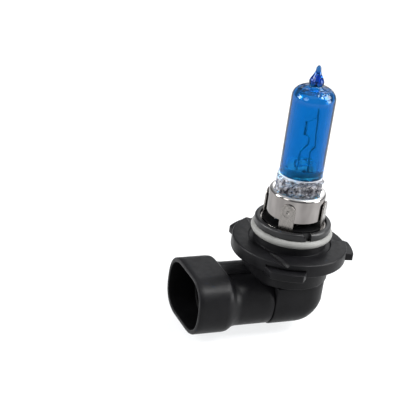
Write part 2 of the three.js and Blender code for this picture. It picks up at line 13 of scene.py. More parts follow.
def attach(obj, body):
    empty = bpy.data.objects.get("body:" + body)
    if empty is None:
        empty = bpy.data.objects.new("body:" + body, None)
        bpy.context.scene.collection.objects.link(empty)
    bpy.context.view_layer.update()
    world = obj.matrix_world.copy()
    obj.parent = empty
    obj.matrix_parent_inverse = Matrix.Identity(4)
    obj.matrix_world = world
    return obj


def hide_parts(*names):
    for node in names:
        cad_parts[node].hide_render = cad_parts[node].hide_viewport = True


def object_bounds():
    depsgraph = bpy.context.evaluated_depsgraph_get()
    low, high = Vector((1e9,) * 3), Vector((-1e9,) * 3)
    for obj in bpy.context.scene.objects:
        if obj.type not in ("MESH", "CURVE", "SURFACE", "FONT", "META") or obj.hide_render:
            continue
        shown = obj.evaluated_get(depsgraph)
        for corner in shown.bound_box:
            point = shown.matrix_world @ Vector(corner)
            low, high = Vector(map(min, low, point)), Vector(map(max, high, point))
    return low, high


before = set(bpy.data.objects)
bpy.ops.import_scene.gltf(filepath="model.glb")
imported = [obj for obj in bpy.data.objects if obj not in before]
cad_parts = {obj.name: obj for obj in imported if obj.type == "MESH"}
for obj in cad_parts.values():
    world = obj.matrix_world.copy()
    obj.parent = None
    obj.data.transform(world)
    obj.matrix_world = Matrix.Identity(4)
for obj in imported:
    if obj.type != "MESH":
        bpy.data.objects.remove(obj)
cad_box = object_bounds()

MM = 0.001
TURN = 2 * math.pi


# ---------------------------------------------------------------- node materials

class Shader:
    """A Principled material with helpers that wire procedural detail to its sockets."""

    def __init__(self, name, colour, roughness, metallic=0.0, **even):
        self.material = bpy.data.materials.new(name)
        self.material.use_nodes = True
        self.tree = self.material.node_tree
        self.bsdf = self.tree.nodes["Principled BSDF"]
        self.bsdf.inputs["Base Color"].default_value = (*colour, 1)
        self.bsdf.inputs["Roughness"].default_value = roughness
        self.bsdf.inputs["Metallic"].default_value = metallic
        for socket, value in even.items():
            self.bsdf.inputs[socket.replace("_", " ")].default_value = value
        self.coords = self.add("ShaderNodeTexCoord").outputs["Object"]

    def add(self, kind, **settings):
        node = self.tree.nodes.new(kind)
        for key, value in settings.items():
            setattr(node, key, value)
        return node

    def link(self, output, socket):
        self.tree.links.new(output, socket)

    def noise(self, size_mm, low=0.0, high=1.0, detail=3.0, stretch=(1, 1, 1)):
        """Noise with features about size_mm across, spread between low and high."""
        mapping = self.add("ShaderNodeMapping")
        mapping.inputs["Scale"].default_value = stretch
        self.link(self.coords, mapping.inputs["Vector"])
        texture = self.add("ShaderNodeTexNoise")
        texture.inputs["Scale"].default_value = 1 / (size_mm * MM)
        texture.inputs["Detail"].default_value = detail
        self.link(mapping.outputs["Vector"], texture.inputs["Vector"])
        return self.spread(texture.outputs["Fac"], 0.3, 0.7, low, high)

    def spread(self, value, from_low, from_high, low=0.0, high=1.0):
        node = self.add("ShaderNodeMapRange")
        sockets = ("From Min", "From Max", "To Min", "To Max")
        for socket, number in zip(sockets, (from_low, from_high, low, high)):
            node.inputs[socket].default_value = number
        self.link(value, node.inputs["Value"])
        return node.outputs["Result"]

    def height(self, low_mm, high_mm):
        """0 below low_mm along the lamp's axis and 1 above high_mm."""
        split = self.add("ShaderNodeSeparateXYZ")
        self.link(self.coords, split.inputs["Vector"])
        return self.spread(split.outputs["Z"], low_mm * MM, high_mm * MM)

    def distance_out(self, low_mm, high_mm):
        """0 nearer the lamp's axis than low_mm and 1 further out than high_mm."""
        flat = self.add("ShaderNodeVectorMath", operation="MULTIPLY")
        flat.inputs[1].default_value = (1, 1, 0)
        self.link(self.coords, flat.inputs[0])
        length = self.add("ShaderNodeVectorMath", operation="LENGTH")
        self.link(flat.outputs["Vector"], length.inputs[0])
        return self.spread(length.outputs["Value"], low_mm * MM, high_mm * MM)

    def maths(self, operation, a, b):
        node = self.add("ShaderNodeMath", operation=operation)
        for socket, value in zip(node.inputs, (a, b)):
            if isinstance(value, (int, float)):
                socket.default_value = value
            else:
                self.link(value, socket)
        return node.outputs[0]

    def blend(self, factor, a, b):
        node = self.add("ShaderNodeMix", data_type="RGBA")
        self.link(factor, node.inputs["Factor"])
        for socket, value in ((node.inputs[6], a), (node.inputs[7], b)):
            if isinstance(value, tuple):
                socket.default_value = (*value, 1)
            else:
                self.link(value, socket)
        return node.outputs[2]

    def colour(self, output):
        self.link(output, self.bsdf.inputs["Base Color"])
        return self

    def roughness(self, output):
        self.link(output, self.bsdf.inputs["Roughness"])
        return self

    def relief(self, *layers):
        """Stacks (height output, depth in mm) bumps."""
        normal = None
        for output, depth_mm in layers:
            node = self.add("ShaderNodeBump")
            node.inputs["Distance"].default_value = depth_mm * MM
            self.link(output, node.inputs["Height"])
            if normal is not None:
                self.link(normal, node.inputs["Normal"])
            normal = node.outputs["Normal"]
        self.link(normal, self.bsdf.inputs["Normal"])
        return self


def moulded_plastic(name, dark, light, rough_low, rough_high, level=0.12):
    shader = Shader(name, dark, rough_low, Specular_IOR_Level=level)
    shader.colour(shader.blend(shader.noise(3.5, detail=4), dark, light))
    shader.roughness(shader.noise(1.2, rough_low, rough_high, detail=3))
    return shader.relief((shader.noise(0.2, detail=2), 0.004), (shader.noise(4.0, detail=2), 0.02)).material


def drawn_metal(name, dark, light, rough_low, rough_high, stretch, depth=0.003):
    shader = Shader(name, dark, rough_low, metallic=1.0)
    shader.colour(shader.blend(shader.noise(1.2, stretch=stretch, detail=4), dark, light))
    shader.roughness(shader.noise(0.5, rough_low, rough_high, stretch=stretch))
    return shader.relief((shader.noise(0.25, stretch=stretch), depth)).material


def polished_cup():
    """Bright steel, painted darker in vertical streaks down the drawn side as painted reflection and shade,
    and painted lighter on the flat top where light falls.
    """
    shader = Shader("polished_cup_steel", (0.3, 0.28, 0.27), 0.12, metallic=1.0)
    # Painted reflection and shade: vertical streaks and a dark tone on the side; painted light: a far
    # lighter tone on the top.
    painted_reflection_streaks = shader.noise(5.0, stretch=(1, 1, 0.4), detail=2)
    side = shader.blend(painted_reflection_streaks, (0.15, 0.14, 0.135), (0.34, 0.32, 0.31))
    top = shader.blend(shader.noise(1.5, detail=4), (0.52, 0.51, 0.50), (0.64, 0.63, 0.62))
    top_part = shader.height(14.2, 14.55)
    shader.colour(shader.blend(top_part, side, top))
    rim = shader.maths("MULTIPLY", top_part, shader.distance_out(6.5, 6.7))
    shader.roughness(shader.maths("ADD", shader.noise(0.6, 0.04, 0.12), shader.maths("MULTIPLY", rim, 0.3)))
    turning_lines = shader.noise(0.4, stretch=(1, 1, 6))
    return shader.relief((turning_lines, 0.0006), (shader.noise(4.0), 0.004)).material


def coated_quartz():
    """Quartz in a transparent blue coat, deep on the foot of the tip, with a painted reflection making the
    dome a lighter blue and a painted highlight making the very top of the tip lighter.
    """
    shader = Shader("coated_quartz", (0.001, 0.12, 0.42), 0.015, Transmission_Weight=1.0)
    blue = shader.blend(shader.noise(6.0, detail=2), (0.0004, 0.1, 0.36), (0.0007, 0.122, 0.43))
    # Painted reflection: the dome is painted a lighter blue.
    blue = shader.blend(shader.height(40.0, 41.2), blue, (0.004, 0.17, 0.5))
    blue = shader.blend(shader.height(43.2, 44.2), blue, (0.0002, 0.022, 0.24))
    # Painted highlight: the very top of the tip is painted lighter.
    blue = shader.blend(shader.height(46.4, 47.6), blue, (0.02, 0.12, 0.32))
    gloss = shader.blend(shader.height(39.2, 40.4), (0.1, 0.5, 1.0), (0.85, 0.95, 1.0))
    shader.link(gloss, shader.bsdf.inputs["Specular Tint"])
    grazing = shader.add("ShaderNodeLayerWeight").outputs["Facing"]
    shader.colour(shader.blend(shader.spread(grazing, 0.3, 0.8), blue, (0.0006, 0.085, 0.35)))
    shader.link(shader.spread(grazing, 0.45, 0.85, 1.35, 1.15), shader.bsdf.inputs["IOR"])
    shader.roughness(shader.noise(2.0, 0.005, 0.03))
    below_tip = shader.maths("SUBTRACT", 1, shader.height(43.3, 43.9))
    tip_foot = shader.maths("MULTIPLY", shader.height(41.9, 42.7), below_tip)
    crumpled = shader.maths("MULTIPLY", shader.noise(1.1, detail=1), tip_foot)
    return shader.relief((shader.noise(2.2, detail=1), 0.01), (crumpled, 0.22)).material


def pressed_quartz():
    """Bare quartz where the jaws have pressed it, uneven and slightly hazy; its colour is mottled with
    painted glints and painted dark specks, and painted near-white from 19 mm up as a painted highlight line.
    """
    shader = Shader("pressed_quartz", (0.7, 0.72, 0.78), 0.15, Transmission_Weight=0.68, IOR=1.458)
    # Painted glints and painted dark specks mottle the colour.
    glint_mask = shader.spread(shader.noise(0.85, detail=6), 0.25, 0.85)
    painted_glint_specks = shader.blend(glint_mask, (0.008, 0.008, 0.02), (0.84, 0.84, 0.90))
    # Painted highlight: painted near-white from 19 mm up.
    shader.colour(shader.blend(shader.height(18.5, 19.0), painted_glint_specks, (0.93, 0.95, 0.99)))
    shader.roughness(shader.noise(0.8, 0.06, 0.26))
    return shader.relief((shader.noise(1.1, detail=3), 0.12)).material


def clear_quartz(name, depth, clearness):
    shader = Shader(name, (0.95, 0.97, 1.0), 0.02, Transmission_Weight=clearness, IOR=1.458)
    shader.colour(shader.blend(shader.noise(1.0), (0.90, 0.93, 0.97), (0.98, 0.99, 1.0)))
    shader.roughness(shader.noise(0.8, 0.0, 0.04))
    return shader.relief((shader.noise(0.8, detail=1), depth)).material


BLACK = moulded_plastic("black_moulded_plastic", (0.0028, 0.0028, 0.0033), (0.0052, 0.0051, 0.0058),
                        0.36, 0.46)
# Painted light: the collar's black is painted lighter, a painted sheen, and it is glossier too.
LIT_COLLAR_BLACK = moulded_plastic("black_collar_plastic_painted_light", (0.005, 0.005, 0.0055), (0.009, 0.009, 0.0095),
                               0.34, 0.42, 0.32)
# Painted shade: a darker, rougher black for faces deep in recesses and inside the socket, where shade falls.
SHADE_PAINTED_BLACK = moulded_plastic("black_plastic_painted_shade", (0.0012, 0.0012, 0.0014), (0.0022, 0.0022, 0.0024),
                               0.5, 0.6, 0.06)
RESIN = moulded_plastic("cast_resin", (0.004, 0.004, 0.005), (0.008, 0.007, 0.008), 0.3, 0.45)
SILICONE = moulded_plastic("grey_silicone", (0.155, 0.155, 0.148), (0.20, 0.20, 0.192), 0.48, 0.6, 0.2)
POLISHED = polished_cup()
SPRING = drawn_metal("stamped_spring_steel", (0.19, 0.178, 0.17), (0.27, 0.255, 0.24), 0.2, 0.32,
                     (6, 6, 1), 0.004)
TUNGSTEN = drawn_metal("drawn_tungsten", (0.30, 0.30, 0.32), (0.42, 0.42, 0.44), 0.3, 0.45, (1, 1, 1))
MOLYBDENUM = drawn_metal("drawn_molybdenum", (0.34, 0.34, 0.35), (0.48, 0.48, 0.49), 0.25, 0.4, (3, 3, 1))
FOIL = drawn_metal("rolled_foil", (0.55, 0.56, 0.58), (0.75, 0.76, 0.78), 0.2, 0.35, (1, 1, 3))
TINNED = drawn_metal("tinned_brass", (0.62, 0.60, 0.54), (0.72, 0.70, 0.64), 0.22, 0.34, (1, 5, 5))
COATED = coated_quartz()
PRESSED = pressed_quartz()
CLEAR = clear_quartz("clear_quartz", 0.01, 0.95)
INSIDE = clear_quartz("clear_quartz_inside", 0.004, 1.0)


# ---------------------------------------------------------------- mesh helpers

def new_object(name, points, faces):
    mesh = bpy.data.meshes.new(name)
    mesh.from_pydata([[c * MM for c in p] for p in points], [], faces)
    mesh.validate()
    obj = bpy.data.objects.new(name, mesh)
    bpy.context.scene.collection.objects.link(obj)
    return obj


def face_outward(obj):
    shape = bmesh.new()
    shape.from_mesh(obj.data)
    bmesh.ops.recalc_face_normals(shape, faces=shape.faces)
    shape.to_mesh(obj.data)
    shape.free()
    return obj


def piece(obj, materials, replaced=(), crease=32):
    """Makes obj a piece of the bulb, in place of the plainer nodes named in replaced."""
    obj.data.materials.clear()
    for each in materials:
        obj.data.materials.append(each)
    obj.data.shade_smooth()
    obj.data.set_sharp_from_angle(angle=math.radians(crease))
    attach(obj, "root")
    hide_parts(*replaced)
    return obj


def give_faces(obj, index, inside):
    """Gives another of its materials to the faces whose middle, in mm, is inside."""
    for face in obj.data.polygons:
        if inside(face.center / MM):
            face.material_index = index


def loft(name, rings, looped=False):
    """A closed skin through rings of equally many points, capped at both ends unless looped."""
    count = len(rings[0])
    points = [p for ring in rings for p in ring]
    faces = []
    spans = len(rings) if looped else len(rings) - 1
    for i in range(spans):
        a, b = i * count, ((i + 1) % len(rings)) * count
        for j in range(count):
            k = (j + 1) % count
            faces.append((a + j, a + k, b + k, b + j))
    if not looped:
        faces.append(tuple(reversed(range(count))))
        faces.append(tuple((len(rings) - 1) * count + j for j in range(count)))
    return face_outward(new_object(name, points, faces))


def revolve(name, profile, segments=160):
    """Turns a closed outline of (radius, z) round the axis. Points on the axis become poles."""
    points, rows, faces = [], [], []
    for r, z in profile:
        if r < 1e-6:
            rows.append([len(points)] * segments)
            points.append((0, 0, z))
        else:
            rows.append(list(range(len(points), len(points) + segments)))
            points += [(r * math.cos(TURN * j / segments), r * math.sin(TURN * j / segments), z)
                       for j in range(segments)]
    for i in range(len(rows)):
        a, b = rows[i], rows[(i + 1) % len(rows)]
        if a[0] == a[1] and b[0] == b[1]:
            continue
        for j in range(segments):
            k = (j + 1) % segments
            corners = [a[j], a[k], b[k], b[j]]
            faces.append(tuple(dict.fromkeys(corners)))
    return face_outward(new_object(name, points, faces))


def rounded(corners, steps=4):
    """An outline through (x, y, radius) corners, each rounded to its radius."""
    outline = []
    for i, (x, y, radius) in enumerate(corners):
        here = Vector((x, y))
        if radius == 0:
            outline.append((x, y))
            continue
        before = (Vector(corners[i - 1][:2]) - here).normalized()
        after = (Vector(corners[(i + 1) % len(corners)][:2]) - here).normalized()
        half = before.angle(after) / 2
        centre = here + (before + after).normalized() * (radius / math.sin(half))
        start = here + before * (radius / math.tan(half)) - centre
        end = here + after * (radius / math.tan(half)) - centre
        first = math.atan2(start.y, start.x)
        sweep = (math.atan2(end.y, end.x) - first + math.pi) % TURN - math.pi
        for s in range(steps + 1):
            angle = first + sweep * s / steps
            outline.append((centre.x + radius * math.cos(angle), centre.y + radius * math.sin(angle)))
    return outline


def settled(obj):
    """Applies the modifiers of obj."""
    graph = bpy.context.evaluated_depsgraph_get()
    mesh = bpy.data.meshes.new_from_object(obj.evaluated_get(graph))
    obj.modifiers.clear()
    obj.data = mesh
    return obj


def bevelled(obj, width_mm, segments=2, angle=30):
    bevel = obj.modifiers.new("bevel", "BEVEL")
    bevel.width = width_mm * MM
    bevel.segments = segments
    bevel.limit_method = "ANGLE"
    bevel.angle_limit = math.radians(angle)
    return settled(obj)


def cut_and_joined(obj, steps):
    """Applies (operation, tool object) boolean steps in order and removes the tools."""
    for operation, tool in steps:
        boolean = obj.modifiers.new("boolean", "BOOLEAN")
        boolean.operation = operation
        boolean.solver = "EXACT"
        boolean.object = tool
        settled(obj)
        bpy.data.objects.remove(tool)
    shape = bmesh.new()
    shape.from_mesh(obj.data)
    bmesh.ops.remove_doubles(shape, verts=shape.verts, dist=0.002 * MM)
    bmesh.ops.dissolve_degenerate(shape, edges=shape.edges, dist=0.002 * MM)
    shape.to_mesh(obj.data)
    shape.free()
    return obj


def turned_about_axis(obj, degrees):
    obj.data.transform(Matrix.Rotation(math.radians(degrees), 4, "Z"))
    return obj


def prism(name, outline, low, high, axis="z"):
    """An outline extruded between two heights. Along x it is drawn in (y, z), along y in (x, z)."""
    place = {
        "x": lambda p, h: (h, p[0], p[1]),
        "y": lambda p, h: (p[0], h, p[1]),
        "z": lambda p, h: (p[0], p[1], h),
    }[axis]
    return loft(name, [[place(p, low) for p in outline], [place(p, high) for p in outline]])


def tube(name, path, radius, sides=10):
    """A round wire along a path of points, with rounded ends."""
    path = [Vector(p) for p in path]
    rings = []
    side = Vector((0, 1, 0))
    for i, p in enumerate(path):
        ahead = (path[min(i + 1, len(path) - 1)] - path[max(i - 1, 0)]).normalized()
        side = (side - ahead * side.dot(ahead)).normalized()
        up = ahead.cross(side)
        reach = radius * (0.55 if i in (0, len(path) - 1) else 1.0)
        angles = [TURN * j / sides for j in range(sides)]
        rings.append([p + (side * math.cos(a) + up * math.sin(a)) * reach for a in angles])
    return loft(name, rings)


def smooth_path(points, per_span=8):
    """A Catmull-Rom curve through points."""
    points = [Vector(p) for p in points]
    padded = [2 * points[0] - points[1], *points, 2 * points[-1] - points[-2]]
    path = []
    for i in range(1, len(padded) - 2):
        a, b, c, d = padded[i - 1:i + 3]
        for s in range(per_span):
            t = s / per_span
            path.append(0.5 * (2 * b + (c - a) * t + (2 * a - 5 * b + 4 * c - d) * t * t
                               + (3 * b - a - 3 * c + d) * t ** 3))
    path.append(points[-1])
    return path


def polar(radius, degrees):
    return radius * math.cos(math.radians(degrees)), radius * math.sin(math.radians(degrees))


def smoothstep(t):
    t = min(max(t, 0.0), 1.0)
    return t * t * (3 - 2 * t)


# ---------------------------------------------------------------- quartz capsule

GLASS_RADIUS = 5.7
CHAMBER_RADIUS = 4.7
PINCH_BOTTOM, PINCH_TOP, TUBE_START = 6.6, 15.6, 19.4
PINCH_HALF_WIDTH, PINCH_HALF_THICKNESS = 6.2, 1.8
COAT_EDGE, CHAMBER_FLOOR_TOP = 19.2, 21.4
TUBE_TOP = 39.4
# The arc that rounds the tube into its domed end: distance of its centre from the axis, height and radius.
SHOULDER_OUT, SHOULDER_Z, SHOULDER_ROUND = 2.9, 40.0, 2.8
# The chamber's flat foot, and how far it sags in the middle.
FOOT_HALF_WIDTH, FOOT_HALF_THICKNESS, FOOT_Z, FOOT_SAG = 4.4, 1.9, 18.7, 0.8
# How far the chamber's rounded end draws in, and how high it rises.
CROWN_IN, CROWN_Z, CROWN_RISE = 2.0, 39.6, 2.3
AROUND = 120


def oval_ring(half_x, half_y, squareness, z, ripple=0.0):
    """A ring that goes from round, at squareness 2, to nearly rectangular at higher values."""
    ring = []
    for j in range(AROUND):
        c, s = math.cos(TURN * j / AROUND), math.sin(TURN * j / AROUND)
        x = half_x * math.copysign(abs(c) ** (2 / squareness), c)
        y = half_y * math.copysign(abs(s) ** (2 / squareness), s)
        if ripple:
            bulge = 1 + ripple * noise.noise(Vector((x * 1.5, y * 1.5, z * 1.5)))
            x, y = x * bulge, y * bulge
        ring.append((x, y, z))
    return ring


def capsule_rings():
    """Outside of the capsule from the foot of the pinch to just under the tip's point."""
    rings = [oval_ring(PINCH_HALF_WIDTH - 0.3, PINCH_HALF_THICKNESS - 0.3, 5, PINCH_BOTTOM)]
    z = PINCH_BOTTOM + 0.3
    while z < TUBE_START + 0.6:
        t = smoothstep((z - PINCH_TOP) / (TUBE_START - PINCH_TOP))
        half_x = PINCH_HALF_WIDTH + (GLASS_RADIUS - PINCH_HALF_WIDTH) * t
        half_y = PINCH_HALF_THICKNESS + (GLASS_RADIUS - PINCH_HALF_THICKNESS) * t
        rough = smoothstep((z - 12.5) / 1.5) * smoothstep((TUBE_START + 0.2 - z) / 1.2)
        rings.append(oval_ring(half_x, half_y, 6 - 4 * t, z, 0.07 * rough))
        z += 0.22
    z = TUBE_START + 0.8
    while z < TUBE_TOP:
        rings.append(oval_ring(GLASS_RADIUS, GLASS_RADIUS, 2, z))
        z += 0.7
    shoulder = [(GLASS_RADIUS, TUBE_TOP + 0.2)]
    for i in range(1, 9):
        angle = math.radians(i * 8.6)
        shoulder.append((SHOULDER_OUT + SHOULDER_ROUND * math.cos(angle),
                         SHOULDER_Z + SHOULDER_ROUND * math.sin(angle)))
    tip = smooth_path([
        (3.0, 42.72, 0), (2.25, 43.02, 0), (1.75, 43.3, 0), (1.68, 43.6, 0), (1.92, 44.05, 0),
        (1.95, 44.55, 0), (1.72, 45.2, 0), (1.3, 45.95, 0), (0.92, 46.7, 0), (0.72, 47.4, 0),
        (0.66, 48.0, 0), (0.5, 48.45, 0), (0.22, 48.75, 0)], 3)
    for r, z in shoulder + [(p[0], p[1]) for p in tip]:
        rings.append(oval_ring(r, r, 2, z))
    return rings


def chamber_rings():
    """Inside of the capsule, from the chamber's floor to the bubble left in the sealed tip."""
    rings = []
    for i in range(1, 7):
        angle = i * math.pi / 12
        half_x, half_y = FOOT_HALF_WIDTH * math.sin(angle), FOOT_HALF_THICKNESS * math.sin(angle)
        rings.append(oval_ring(half_x, half_y, 2.4, FOOT_Z - FOOT_SAG * math.cos(angle)))
    z = FOOT_Z + 0.2
    while z < FOOT_Z + 2.9:
        t = smoothstep((z - FOOT_Z) / 2.7)
        half_x = FOOT_HALF_WIDTH + (CHAMBER_RADIUS - FOOT_HALF_WIDTH) * t
        half_y = FOOT_HALF_THICKNESS + (CHAMBER_RADIUS - FOOT_HALF_THICKNESS) * t
        rings.append(oval_ring(half_x, half_y, 2.4 - 0.4 * t, z))
        z += 0.25
    while z < TUBE_TOP:
        rings.append(oval_ring(CHAMBER_RADIUS, CHAMBER_RADIUS, 2, z))
        z += 0.8
    for i in range(0, 9):
        angle = math.radians(i * 10)
        r = CHAMBER_RADIUS - CROWN_IN + CROWN_IN * math.cos(angle)
        rings.append(oval_ring(r, r, 2, CROWN_Z + CROWN_RISE * math.sin(angle)))
    bubble = smooth_path([(2.2, 42.05, 0), (1.2, 42.25, 0), (0.7, 42.7, 0), (0.55, 43.3, 0), (0.8, 44.0, 0),
                          (0.85, 44.6, 0), (0.6, 45.4, 0), (0.25, 46.1, 0), (0.08, 46.4, 0)], 3)
    for p in bubble:
        rings.append(oval_ring(p[0], p[0], 2, p[1]))
    return rings


def quartz_capsule():
    """The capsule and its chamber in one skin, pressed below the coat's edge and the chamber's floor."""
    outside = loft("quartz_capsule", capsule_rings())
    chamber = loft("chamber", chamber_rings())
    chamber.data.flip_normals()
    shape = bmesh.new()
    shape.from_mesh(outside.data)
    outer_faces = len(shape.faces)
    shape.from_mesh(chamber.data)
    shape.faces.ensure_lookup_table()
    for face in shape.faces[outer_faces:]:
        face.material_index = 1
    shape.to_mesh(outside.data)
    shape.free()
    bpy.data.objects.remove(chamber)
    indices = [2 if p.center.z < (COAT_EDGE, CHAMBER_FLOOR_TOP)[p.material_index] * MM else p.material_index
               for p in outside.data.polygons]
    piece(outside, [COATED, INSIDE, PRESSED], ["quartz_envelope"], crease=50)
    outside.data.polygons.foreach_set("material_index", indices)


quartz_capsule()


# ---------------------------------------------------------------- filament and supports

COIL_X, COIL_RADIUS, COIL_WIRE = -0.87, 0.3, 0.1
COIL_LOW, COIL_HIGH, COIL_TURNS = 29.8, 33.5, 15
LEAD_RADIUS = 0.25


def filament():
    path = [(-0.1, 0, COIL_LOW - 0.15), (-0.4, 0, COIL_LOW - 0.1)]
    steps = COIL_TURNS * 14
    for i in range(steps + 1):
        angle = TURN * i * COIL_TURNS / steps
        path.append((COIL_X + COIL_RADIUS * math.cos(angle), COIL_RADIUS * math.sin(angle),
                     COIL_LOW + (COIL_HIGH - COIL_LOW) * i / steps))
    path += [(COIL_X + 0.5, 0, COIL_HIGH - 0.1), (-0.1, 0, COIL_HIGH), (1.0, 0, COIL_HIGH + 0.35),
             (2.75, 0, COIL_HIGH + 1.05)]
    coil = tube("tungsten_filament", path, COIL_WIRE, 8)
    piece(coil, [TUNGSTEN], ["filament_coil"], crease=60)


def lead(name, node, points):
    piece(tube(name, smooth_path(points), LEAD_RADIUS, 14), [MOLYBDENUM], [node], crease=60)


def bridge_bar():
    """The quartz bar pressed round both leads: a rod with a flat waist and round ends."""
    start, length, radius, height = -2.65, 5.7, 1.0, 21.9
    rings = []
    for i in range(41):
        t = i / 40
        x = start + length * t
        end = min(t, 1 - t) * length
        round_end = math.sqrt(max(1 - (1 - min(end / 0.55, 1)) ** 2, 0.02))
        pressed = 0.78 + 0.22 * (math.cos(2 * TURN * (t - 0.32)) * 0.5 + 0.5)
        rings.append([(x, radius * round_end * pressed * math.cos(TURN * j / 28),
                       height + radius * round_end * math.sin(TURN * j / 28)) for j in range(28)])
    piece(loft("bridge_bar", rings), [CLEAR], ["quartz_bridge"], crease=60)


filament()
lead("lead_short", "short_lead", [
    (-1.5, 0, 15.2), (-1.5, 0, 19), (-1.4, 0, 22.5), (-1.32, 0, 24.7), (-1.15, 0, 25.4), (-0.3, 0, 26.35),
    (0.5, 0, 26.95), (0.72, 0, 27.4), (0.66, 0, 28.4), (0.55, 0, 29.2), (0.25, 0, 29.55), (-0.3, 0, 29.62)])
lead("lead_long", "long_lead", [
    (2, 0, 15.2), (2, 0, 19), (1.95, 0, 22.8), (1.82, 0, 24.2), (1.9, 0, 24.9), (2.3, 0, 25.4),
    (3.0, 0, 25.8), (3.22, 0, 26.3), (3.15, 0, 27.2), (2.85, 0, 29.7), (2.58, 0, 33.2), (2.2, 0, 36.9)])
bridge_bar()


# ---------------------------------------------------------------- metal holder

TONGUE_ANGLES = (49, 139, 229, 319)


def slot_outline(half_x, half_y, corner):
    return rounded([(-half_x, -half_y, corner), (half_x, -half_y, corner), (half_x, half_y, corner),
                    (-half_x, half_y, corner)], 4)


def focusing_cup():
    """A drawn cup with a flat top, slotted for the pinch."""
    profile = rounded([
        (7.0, 8.05, 0.08), (7.12, 7.9, 0.05), (7.45, 7.9, 0.12), (7.45, 14.6, 0.85), (0, 14.6, 0),
        (0, 14.15, 0), (7.0, 14.15, 0.4),
    ], 8)
    cup = revolve("polished_cup", profile, 192)
    slot = prism("slot", slot_outline(PINCH_HALF_WIDTH + 0.12, PINCH_HALF_THICKNESS + 0.12, 0.6), 13, 16)
    cut_and_joined(cup, [("DIFFERENCE", slot)])
    piece(bevelled(cup, 0.06, 2, 60), [POLISHED], ["focusing_cup"], crease=30)


def tongue(angle):
    """An upright tongue, round at its top, with a spot weld's ring and pit pressed into its face."""
    half, top, low = 1.95, 13.0, 4.95
    inner_face, outer_face = 7.52, 7.94
    weld_out, weld_height = 7.95, 10.9
    outline = [(-half, low), (half, low)]
    outline += [(half * math.cos(a), top - half + half * math.sin(a))
                for a in (math.pi * i / 24 for i in range(25))]
    plate = bevelled(prism("tongue", outline, inner_face, outer_face, "x"), 0.09, 2, 40)
    ring = revolve("ring", [(1.4 + 0.1 * math.cos(TURN * i / 12), 0.06 * math.sin(TURN * i / 12))
                            for i in range(12)], 40)
    pit = revolve("pit", [(0, -0.26), (0.25, -0.22), (0.44, -0.06), (0.48, 0.1), (0, 0.3)], 20)
    for tool, offset in ((ring, 0.0), (pit, 0.02)):
        tool.data.transform(Matrix.Rotation(math.pi / 2, 4, "Y"))
        tool.data.transform(Matrix.Translation(Vector((weld_out * MM, offset * MM, weld_height * MM))))
    cut_and_joined(plate, [("DIFFERENCE", ring), ("DIFFERENCE", pit)])
    return turned_about_axis(plate, angle)


def tongue_ring():
    """A foot ring, lowered nearly all the way round, with four tongues welded to it."""
    profile = rounded([
        (7.45, 4.9, 0.05), (8.6, 4.9, 0.1), (8.6, 5.95, 0.08), (8.3, 5.95, 0.08), (8.3, 5.3, 0.1),
        (7.45, 5.3, 0.05),
    ], 3)
    foot = revolve("welded_tongues", profile, 160)
    wedge = [(0, 0)] + [polar(9, 212 + 341 * i / 60) for i in range(61)]
    cut_and_joined(foot, [("DIFFERENCE", prism("lowered", wedge, 5.5, 6.2))]
                   + [("UNION", tongue(angle)) for angle in TONGUE_ANGLES])
    piece(foot, [SPRING], ["tongue_ring"])


focusing_cup()
tongue_ring()


# ---------------------------------------------------------------- moulded base

FLANGE_RADIUS, LUG_RADIUS = 15.25, 17.3
# Each lug's ends in degrees, at the flange's rim and at its own outer face.
LUGS = (((-27.7, 5), (-25.7, -2)), ((103, 138.5), (105, 132)), ((220.7, 263.3), (229.5, 258.2)))
# The ramp cut in the rim beside each lug, as (radius, degrees) corners on the front face and 1 mm below.
RAMPS = (
    (((11.6, -16), (16, -13.5), (16, 22), (12.2, 19)), ((13.2, -6), (16, -4), (16, 19), (13.2, 16))),
    (((11.6, 130), (16, 114), (16, 84), (12.2, 98)), ((13.2, 117), (16, 106), (16, 88), (13.2, 100))),
    (((10.6, 208), (16.2, 230.5), (16, 247.5), (11.9, 231.7)), ((12.3, 232), (16, 245.5))),
)


def lug(root, tip):
    outline = [polar(11.5, root[0]), polar(FLANGE_RADIUS - 0.1, root[0])]
    outline += [polar(LUG_RADIUS, tip[0] + (tip[1] - tip[0]) * i / 14) for i in range(15)]
    outline += [polar(FLANGE_RADIUS - 0.1, root[1]), polar(11.5, root[1])]
    return bevelled(prism("lug", outline, -3.9, -1.9), 0.2, 3, 25)


def lug_groove(root, tip):
    """The fine undercut that sets a lug's top off from the flange's rim."""
    low, high = min(root[0], tip[0]) + 1, max(root[1], tip[1]) - 1
    outline = [polar(FLANGE_RADIUS - 0.45, low + (high - low) * i / 14) for i in range(15)]
    outline += [polar(FLANGE_RADIUS + 0.6, high - (high - low) * i / 14) for i in range(15)]
    return prism("groove", outline, -2.15, -1.3)


def rim_ramp(face, floor):
    """The space over a ramp, down to its floor 1 mm under the front face."""
    shape = bmesh.new()
    corners = [(*polar(*c), z) for z in (0.0, 0.3) for c in face] + [(*polar(*c), -1.0) for c in floor]
    for corner in corners:
        shape.verts.new(corner)
    hull = bmesh.ops.convex_hull(shape, input=shape.verts)
    bmesh.ops.delete(shape, geom=[g for g in hull["geom_interior"] if isinstance(g, bmesh.types.BMVert)])
    mesh = bpy.data.meshes.new("ramp")
    shape.to_mesh(mesh)
    shape.free()
    mesh.transform(Matrix.Scale(MM, 4))
    obj = bpy.data.objects.new("ramp", mesh)
    bpy.context.scene.collection.objects.link(obj)
    return face_outward(obj)


